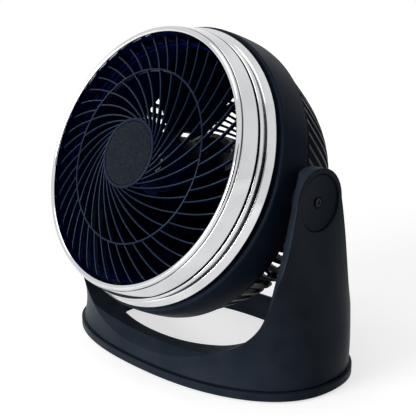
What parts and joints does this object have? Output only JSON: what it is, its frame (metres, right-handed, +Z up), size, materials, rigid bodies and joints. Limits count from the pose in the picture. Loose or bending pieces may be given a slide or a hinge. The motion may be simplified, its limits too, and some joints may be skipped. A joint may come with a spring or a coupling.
{
  "type": "air circulator fan",
  "caption": "Table-top air circulator: a round blower head with swirled grilles and a bright bezel, tilting between the arms of an oval cradle base.",
  "frame": {"origin": "middle of the footprint on the table, under the rubber feet", "axes": "+Z up, -Y the side the air leaves on, +X towards the arm on the right of a viewer in front of the grille"},
  "size_m": [0.2638, 0.1919, 0.2607],
  "materials": {
    "satin_black": "satin moulded plastic, bluish black",
    "barrel_black": "fine-grained moulded plastic",
    "grille_black": "satin moulded plastic",
    "textured_disc": "fine spark-textured plastic",
    "impeller_black": "semi-gloss moulded plastic",
    "bright_bezel": "mirror-bright chromed plastic",
    "foot_rubber": "matt rubber",
    "dark_screws": "black zinc plating",
    "plain_steel": "bright zinc plating",
    "motor_casting": "die-cast aluminium",
    "lamination_steel": "stacked steel sheet",
    "winding_copper": "enamelled copper wire",
    "bearing_bronze": "sintered bronze",
    "bush_plastic": "natural acetal plastic"
  },
  "bodies": {
    "base": {"base_shell": "satin_black", "base_ring": "satin_black", "rubber_feet": "foot_rubber", "base_screws": "dark_screws", "arm_cover_left": "satin_black", "arm_cover_right": "satin_black", "pivot_bush_left": "bush_plastic", "pivot_bush_right": "bush_plastic", "friction_washer_left": "foot_rubber", "friction_washer_right": "foot_rubber"},
    "head": {"chrome_bezel": "bright_bezel", "duct_housing": "barrel_black", "front_grille": "grille_black", "hub_disc": "textured_disc", "rear_grille": "grille_black", "housing_screws": "dark_screws", "motor_front_bell": "motor_casting", "motor_rear_bell": "motor_casting", "front_bearing": "bearing_bronze", "rear_bearing": "bearing_bronze", "stator_core": "lamination_steel", "stator_windings": "winding_copper", "motor_bolts": "plain_steel", "motor_standoffs": "plain_steel", "motor_cover": "barrel_black", "cover_screws": "dark_screws", "rotary_switch": "bush_plastic", "cord_gland": "foot_rubber", "pivot_disc_left": "satin_black", "pivot_disc_right": "satin_black", "pivot_screw_left": "dark_screws", "pivot_screw_right": "dark_screws"},
    "rotor": {"motor_shaft": "plain_steel", "rotor_core": "lamination_steel", "impeller": "impeller_black", "impeller_nut": "impeller_black"},
    "knob": {"switch_stem": "bush_plastic", "speed_knob": "satin_black"}
  },
  "joints": [
    {"name": "head_tilt", "type": "hinge", "parent": "base", "child": "head", "pos_m": [0, -0.00145, 0.1453], "axis": [-1, 0, 0], "range_deg": [-22, 68]},
    {"name": "impeller_spin", "type": "hinge", "parent": "head", "child": "rotor", "pos_m": [0, -0.00145, 0.1453], "axis": [0, -0.9272, 0.3746], "continuous": true},
    {"name": "knob_turn", "type": "hinge", "parent": "head", "child": "knob", "pos_m": [0, -0.00145, 0.1453], "axis": [0, -0.9272, 0.3746], "range_deg": [0, 135]}
  ]
}
